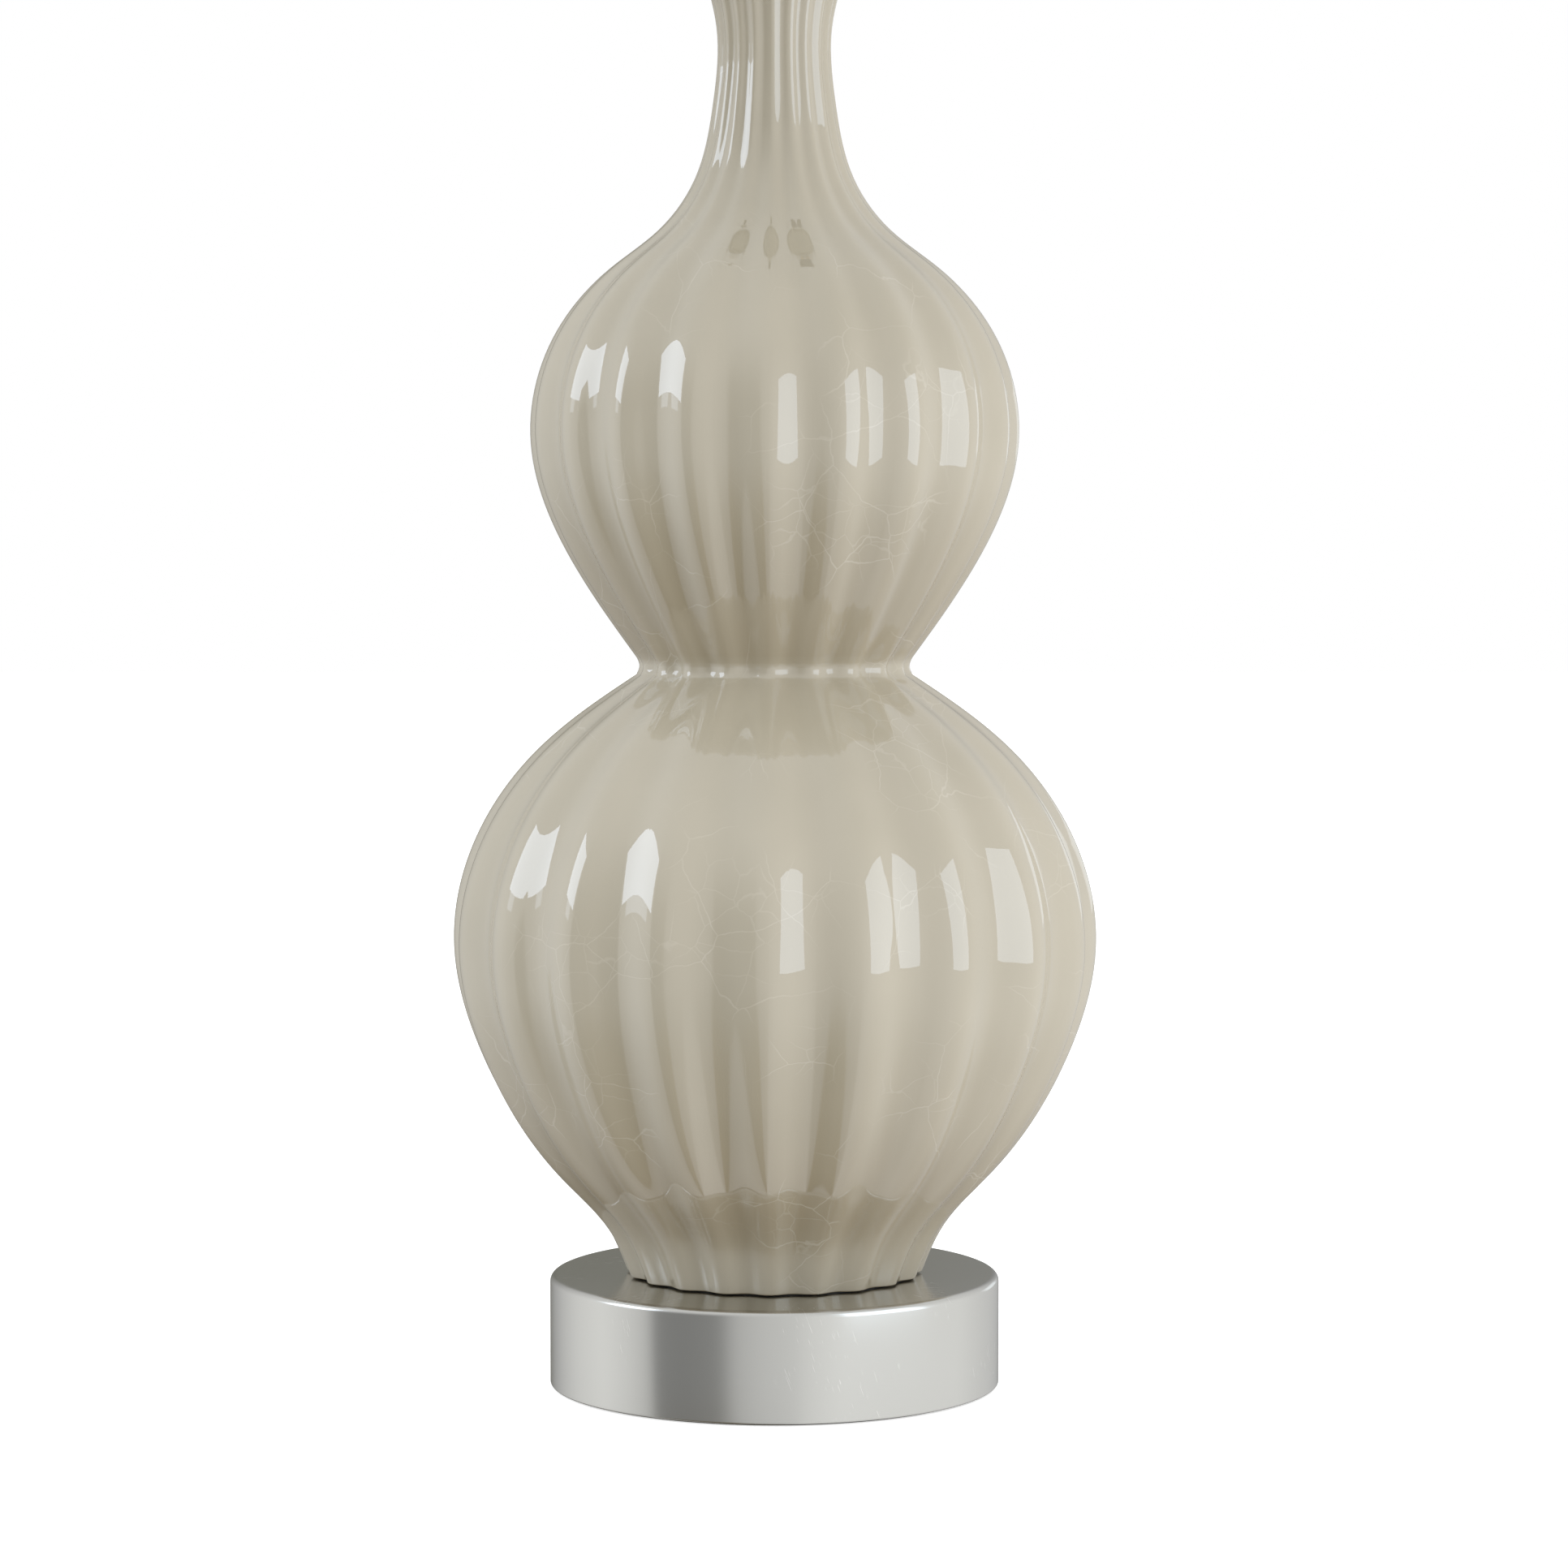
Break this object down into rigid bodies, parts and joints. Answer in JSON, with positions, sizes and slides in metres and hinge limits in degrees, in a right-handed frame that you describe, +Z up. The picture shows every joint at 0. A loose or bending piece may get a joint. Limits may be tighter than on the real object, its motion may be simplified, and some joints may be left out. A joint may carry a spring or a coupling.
{
  "type": "table lamp",
  "caption": "Table lamp with a fluted double gourd body in crackle glaze on a round metal drum base, with a turn-knob socket, harp, drum shade and finial.",
  "frame": {"origin": "on the floor under the lamp's axis", "axes": "+Z up along the lamp's axis, -Y to the front with the turn knob, +Y to the back with the cord inlet, +X to the right"},
  "size_m": [0.381, 0.3808, 0.7833],
  "materials": {
    "glazed_ceramic": "warm grey crackle glaze, glossy",
    "base_metal": "satin nickel plate, fine brushing round the drum",
    "hardware_metal": "satin nickel plate",
    "cast_iron": "as cast",
    "felt": "pressed felt",
    "gasket": "dark sheet rubber",
    "bushing": "moulded nylon",
    "steel": "zinc plated",
    "brass": "drawn brass",
    "phenolic": "moulded phenolic",
    "knob": "moulded, dark brown-black",
    "liner": "fibre paper tube",
    "shade_fabric": "off-white linen on a stiff sheet",
    "shade_wire": "white enamel"
  },
  "bodies": {
    "lamp": {"base_shell": "base_metal", "base_weight": "cast_iron", "felt_pad": "felt", "inlet_bushing": "bushing", "pipe_washer": "steel", "pipe_nut": "steel", "gourd_body": "glazed_ceramic", "foot_gasket": "gasket", "neck_cap": "hardware_metal", "neck_spindle": "hardware_metal", "harp_saddle": "hardware_metal", "harp_wire": "hardware_metal", "harp_crown": "hardware_metal", "socket_cap": "hardware_metal", "socket_set_screw": "steel", "lamp_pipe": "steel", "socket_shell": "hardware_metal", "shell_liner": "liner", "switch_block": "phenolic", "screw_shell": "brass", "centre_contact": "brass"},
    "switch": {"switch_stem": "brass", "switch_knob": "knob"},
    "shade": {"shade_wall": "shade_fabric", "shade_top_ring": "shade_wire", "shade_bottom_ring": "shade_wire", "shade_spider": "shade_wire"},
    "finial": {"finial": "hardware_metal"},
    "ferrule_left": {"harp_ferrule_left": "hardware_metal"},
    "ferrule_right": {"harp_ferrule_right": "hardware_metal"}
  },
  "joints": [
    {"name": "switch_turn", "type": "hinge", "parent": "lamp", "child": "switch", "pos_m": [0, -0.03, 0.5308], "axis": [0, -1, 0], "continuous": true},
    {"name": "shade_turn", "type": "hinge", "parent": "lamp", "child": "shade", "pos_m": [0, 0, 0.7581], "axis": [0, 0, 1], "continuous": true},
    {"name": "finial_turn", "type": "hinge", "parent": "lamp", "child": "finial", "pos_m": [0, 0, 0.77], "axis": [0, 0, 1], "continuous": true},
    {"name": "ferrule_left_slide", "type": "slide", "parent": "lamp", "child": "ferrule_left", "axis": [0, 0, 1], "range_m": [0, 0.016]},
    {"name": "ferrule_right_slide", "type": "slide", "parent": "lamp", "child": "ferrule_right", "axis": [0, 0, 1], "range_m": [0, 0.016]}
  ]
}
